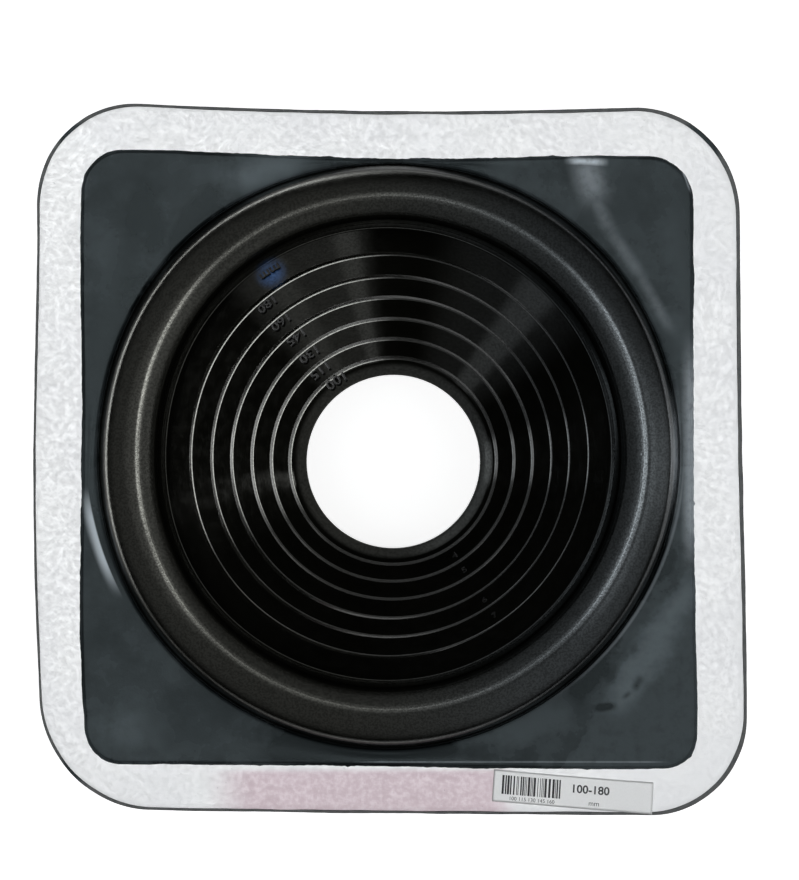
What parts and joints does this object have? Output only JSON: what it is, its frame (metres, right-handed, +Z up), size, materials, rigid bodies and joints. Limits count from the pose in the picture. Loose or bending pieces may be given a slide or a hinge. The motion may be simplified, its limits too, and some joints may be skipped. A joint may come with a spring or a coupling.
{
  "type": "pipe flashing boot",
  "caption": "Square-base rubber roof flashing with a round bellows and a stepped cone that is cut to fit a pipe, and an aluminium strip bonded into its base.",
  "frame": {"origin": "on the boot's axis, level with the feet of the sealing ribs that rest on the roof", "axes": "+Z up along the boot's axis towards the cone's tip; X and Y square to the base's sides"},
  "size_m": [0.28, 0.28, 0.0778],
  "materials": {
    "rubber": "satin",
    "aluminium": "satin",
    "label_paper": "matte"
  },
  "bodies": {
    "root": {"rubber_boot": "rubber", "aluminium_flange": "aluminium", "paper_label": "label_paper"}
  },
  "joints": []
}
